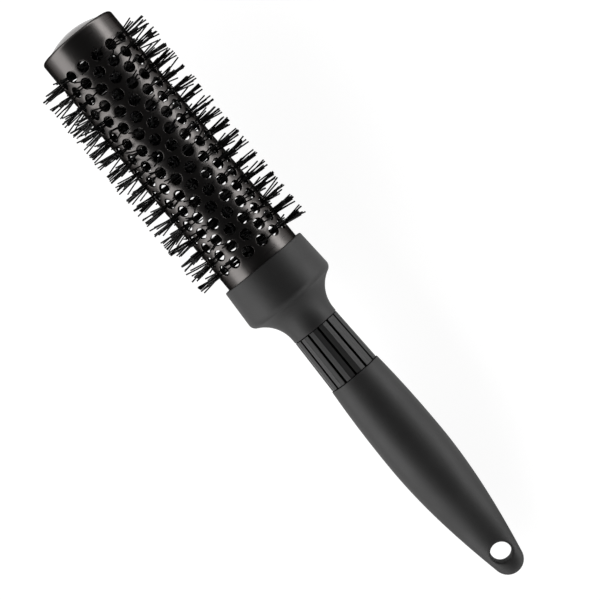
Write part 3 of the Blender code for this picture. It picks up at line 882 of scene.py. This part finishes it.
def rubber_finish(name):
    """Soft-touch coating: fine grain, handling marks and a dusty sheen."""
    finish = Finish(name)
    marks = finish.noise(scale=70, detail=4)
    speckle = finish.spread(finish.noise(scale=5200, detail=1), (0, 1), SPECKLE_RANGE)
    finish.set("Base Color", finish.blend(speckle, finish.blend(marks, *RUBBER_COLOURS), RUBBER_SPECKLE))
    finish.set("Roughness", finish.spread(marks, RUBBER_ROUGHNESS))
    finish.shelter_highlights()
    finish.bump(finish.noise(scale=3800, detail=2), depth=0.05 * MM, strength=0.3)
    return finish.material


def add_piece(name, mesh, material, nodes):
    """Puts a piece where the CAD brush lies, in place of the CAD nodes that it stands for."""
    piece = bpy.data.objects.new(name, mesh)
    bpy.context.scene.collection.objects.link(piece)
    mesh.materials.append(material)
    mesh.transform(BRUSH)
    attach(piece, "root")
    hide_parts(*nodes)


def floor_finish():
    """Plain paint that also glows to the eye and in reflections, without lighting the brush."""
    material = bpy.data.materials.new("white_floor")
    material.use_nodes = True
    nodes, links = material.node_tree.nodes, material.node_tree.links
    nodes.clear()
    path = nodes.new("ShaderNodeLightPath")
    seen = path.outputs["Is Camera Ray"]
    for ray in ("Is Glossy Ray", "Is Transmission Ray"):
        either = nodes.new("ShaderNodeMath")
        either.operation = "MAXIMUM"
        links.new(seen, either.inputs[0])
        links.new(path.outputs[ray], either.inputs[1])
        seen = either.outputs["Value"]
    glow = nodes.new("ShaderNodeEmission")
    glow.inputs["Color"].default_value = (FLOOR_GLOW, FLOOR_GLOW, FLOOR_GLOW, 1)
    links.new(seen, glow.inputs["Strength"])
    paint = nodes.new("ShaderNodeBsdfDiffuse")
    paint.inputs["Color"].default_value = (FLOOR_PAINT, FLOOR_PAINT, FLOOR_PAINT, 1)
    both = nodes.new("ShaderNodeAddShader")
    links.new(glow.outputs["Emission"], both.inputs[0])
    links.new(paint.outputs["BSDF"], both.inputs[1])
    links.new(both.outputs["Shader"], nodes.new("ShaderNodeOutputMaterial").inputs["Surface"])
    return material


def add_floor():
    """Floor that shows white and keeps the brush's shadow."""
    bm = bmesh.new()
    half = FLOOR_SIZE / 2
    corners = ((-half, -half), (half, -half), (half, half), (-half, half))
    bm.faces.new([bm.verts.new((x, y, -FLOOR_DROP)) for x, y in corners])
    mesh = bpy.data.meshes.new("floor")
    bm.to_mesh(mesh)
    bm.free()
    mesh.materials.append(floor_finish())
    floor = bpy.data.objects.new("floor", mesh)
    bpy.context.scene.collection.objects.link(floor)


def add_panels():
    """Two long soft panels of light, one on each side of the brush."""
    left = ("panel_left", -1, LEFT_PANEL_HEIGHT, LEFT_PANEL_RADIANCE)
    right = ("panel_right", 1, RIGHT_PANEL_HEIGHT, RIGHT_PANEL_RADIANCE)
    for name, side, height, radiance in (left, right):
        light = bpy.data.lights.new(name, "AREA")
        light.shape = "RECTANGLE"
        light.size = PANEL_LENGTH
        light.size_y = height
        light.energy = radiance * math.pi * PANEL_LENGTH * height
        panel = bpy.data.objects.new(name, light)
        panel.location = (0, side * PANEL_AWAY, height / 2)
        panel.rotation_euler = (-side * math.pi / 2, 0, 0)
        panel.visible_camera = False
        bpy.context.scene.collection.objects.link(panel)


def add_room():
    """Dim light from all round, least from overhead."""
    world = bpy.data.worlds.new("studio")
    world.use_nodes = True
    bpy.context.scene.world = world
    nodes, links = world.node_tree.nodes, world.node_tree.links
    split = nodes.new("ShaderNodeSeparateXYZ")
    links.new(nodes.new("ShaderNodeTexCoord").outputs["Generated"], split.inputs["Vector"])
    ramp = nodes.new("ShaderNodeMapRange")
    ramp.interpolation_type = "SMOOTHSTEP"
    ramp.inputs["From Min"].default_value = 0.0
    ramp.inputs["From Max"].default_value = OVERHEAD_FROM
    ramp.inputs["To Min"].default_value = HORIZON_GLOW
    ramp.inputs["To Max"].default_value = OVERHEAD_GLOW
    links.new(split.outputs["Z"], ramp.inputs["Value"])
    links.new(ramp.outputs["Result"], nodes["Background"].inputs["Strength"])
    nodes["Background"].inputs["Color"].default_value = (1, 1, 1, 1)


def add_camera():
    """Camera over the brush, turned so that it lies across the picture as it does in the photograph."""
    aside = direction(CAMERA_TURN + math.pi / 2)
    aim = aside * AIM_ASIDE + Vector((0, 0, AIM_Z))
    over = aside * AIM_ASIDE + Vector((0, 0, CAMERA_OVER_Z))
    place = over + direction(CAMERA_TURN) * CAMERA_DISTANCE
    back = (place - aim).normalized()
    along = Vector((0, 0, 1))
    along = (along - along.dot(back) * back).normalized()
    across = back.cross(along)
    right = math.cos(AXIS_SLOPE) * along + math.sin(AXIS_SLOPE) * across
    up = back.cross(right)
    data = bpy.data.cameras.new("camera")
    data.sensor_width = SENSOR_WIDTH
    data.lens = SENSOR_WIDTH * (place - aim).length / IMAGE_WIDTH_AT_AXIS
    camera = bpy.data.objects.new("camera", data)
    turn = Matrix((right, up, back)).transposed().to_4x4()
    camera.matrix_world = BRUSH @ Matrix.Translation(place) @ turn
    bpy.context.scene.collection.objects.link(camera)
    bpy.context.scene.camera = camera


add_piece("barrel", barrel_mesh(), tube_finish(), ["barrel_tube"])
add_piece("cap", cap_mesh(), cap_finish(), ["end_cap"])
STEEL = wire_finish()
for letter, start_angle in (("a", 0), ("b", math.pi)):
    mesh = wire_mesh("wire_" + letter, start_angle)
    add_piece("wire_" + letter, mesh, STEEL, ["core_wire_" + letter])
NYLON = nylon_finish()
for ring in range(RING_COUNT):
    number = f"{ring + 1:02d}"
    mesh = bristle_mesh("bristles_" + number, ring)
    add_piece("bristles_" + number, mesh, NYLON, ["bristle_ring_" + number])
add_piece("collar", collar_mesh(), rubber_finish("soft_touch_collar"), ["collar_cover"])
add_piece("ribbed_core", core_mesh(), rib_finish(), ["handle_core"])
add_piece("grip", grip_mesh(), rubber_finish("soft_touch_grip"), ["grip_sleeve"])
add_floor()
add_panels()
add_room()
add_camera()
bpy.context.scene.view_settings.view_transform = "Standard"

bpy.context.view_layer.update()
